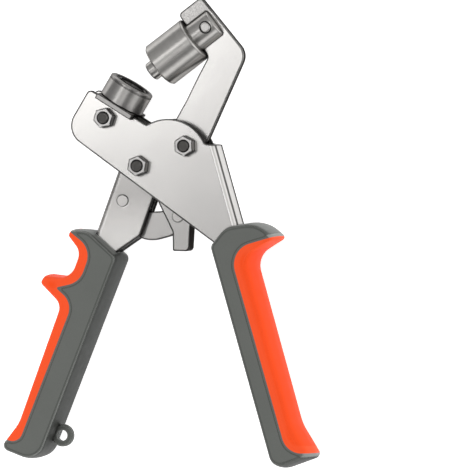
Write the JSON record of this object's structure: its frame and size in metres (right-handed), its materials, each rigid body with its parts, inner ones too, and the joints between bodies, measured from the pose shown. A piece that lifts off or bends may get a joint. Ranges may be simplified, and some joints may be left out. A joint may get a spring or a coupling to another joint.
{
  "type": "eyelet setting pliers",
  "caption": "Hand-held eyelet setting pliers: a folded steel frame holds an anvil, and a hand lever and link swing a punch jaw down onto it against a return spring.",
  "frame": {"origin": "centre of the anvil's working face, on the tool's mid-plane", "axes": "+Z is the tool's thickness, towards the side with the nuts; +Y runs from the grips towards the jaws; +X points from the anvil's side to the fixed grip's side"},
  "size_m": [0.1776, 0.2577, 0.029],
  "materials": {
    "sheet_steel": "satin",
    "die_steel": "turned",
    "bright_pin": "satin",
    "dark_fastener": "black oxide, satin",
    "spring_steel": "satin",
    "grip_hard": "fine matt",
    "grip_soft": "satin"
  },
  "bodies": {
    "frame": {"frame": "sheet_steel", "right_grip": "grip_hard", "right_grip_inlay": "grip_soft", "anvil_body": "die_steel", "anvil_insert": "die_steel", "anvil_saddle": "sheet_steel", "hex_bolts": "dark_fastener", "hex_nuts": "dark_fastener", "lever_bush": "bright_pin", "jaw_bush": "bright_pin", "jaw_spacers": "bright_pin", "return_spring": "spring_steel"},
    "lever": {"lever": "sheet_steel", "left_grip": "grip_hard", "left_grip_inlay": "grip_soft", "lever_link_pin": "bright_pin", "link_spacers": "bright_pin"},
    "jaw": {"jaw_arm": "sheet_steel", "jaw_tail": "sheet_steel", "jaw_tail_rivet": "bright_pin", "jaw_link_pin": "bright_pin", "punch_holder": "die_steel", "punch_tip": "die_steel", "punch_pin": "bright_pin"},
    "link": {"link": "sheet_steel"}
  },
  "joints": [
    {"name": "lever_squeeze", "type": "hinge", "parent": "frame", "child": "lever", "pos_m": [0.0064, -0.0448, 0], "axis": [0, 0, 1], "range_deg": [0, 38.5], "stiffness_Nm_per_rad": 0.4, "springref_deg": -28.65, "deforming": ["return_spring"]},
    {"name": "jaw_close", "type": "hinge", "parent": "frame", "child": "jaw", "pos_m": [0.0331, -0.0338, 0], "axis": [0, 0, 1], "range_deg": [0, 22.1]},
    {"name": "link_swing", "type": "hinge", "parent": "lever", "child": "link", "pos_m": [-0.004, -0.0641, 0], "axis": [0, 0, 1], "range_deg": [-32.4, 0]}
  ],
  "couplings": [
    {"joint": "jaw_close", "follows": "lever_squeeze", "ratio": 0.574},
    {"joint": "link_swing", "follows": "lever_squeeze", "ratio": -0.839}
  ]
}
